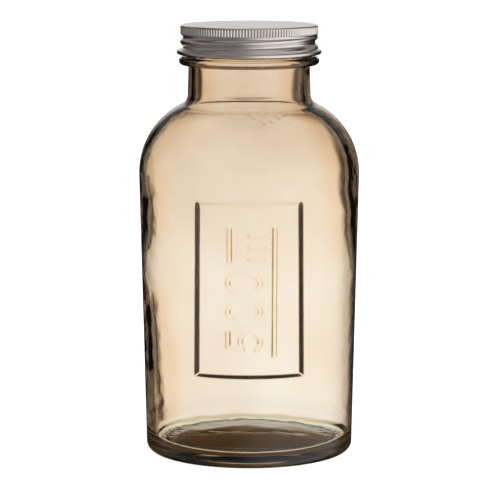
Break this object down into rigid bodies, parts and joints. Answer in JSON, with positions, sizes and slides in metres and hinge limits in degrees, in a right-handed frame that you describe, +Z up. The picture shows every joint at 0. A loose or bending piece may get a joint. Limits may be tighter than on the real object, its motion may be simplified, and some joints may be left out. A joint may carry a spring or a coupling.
{
  "type": "storage jar",
  "caption": "Round tinted glass storage jar with a domed shoulder, straight neck and recessed front panel, closed by a knurled aluminium screw lid with a loose sealing liner.",
  "frame": {"origin": "centre of the jar's base, on the surface it stands on", "axes": "+Z up along the axis of the jar, -Y out of the recessed panel, +X to the right of someone who faces the panel"},
  "size_m": [0.1024, 0.1024, 0.1995],
  "materials": {
    "glass": "glossy, brown tint",
    "aluminium": "satin",
    "liner": "matte"
  },
  "bodies": {
    "jar": {"glass_jar": "glass"},
    "seal": {"lid_liner": "liner"},
    "cap": {"lid_shell": "aluminium"}
  },
  "joints": [
    {"name": "lid_rise", "type": "slide", "parent": "jar", "child": "seal", "axis": [0, 0, 1], "range_m": [0, 0.0125]},
    {"name": "lid_turn", "type": "hinge", "parent": "seal", "child": "cap", "pos_m": [0, 0, 0.19], "axis": [0, 0, 1], "range_deg": [0, 900]}
  ],
  "couplings": [
    {"joint": "lid_rise", "follows": "lid_turn", "m_per_rad": 0.00079577}
  ]
}
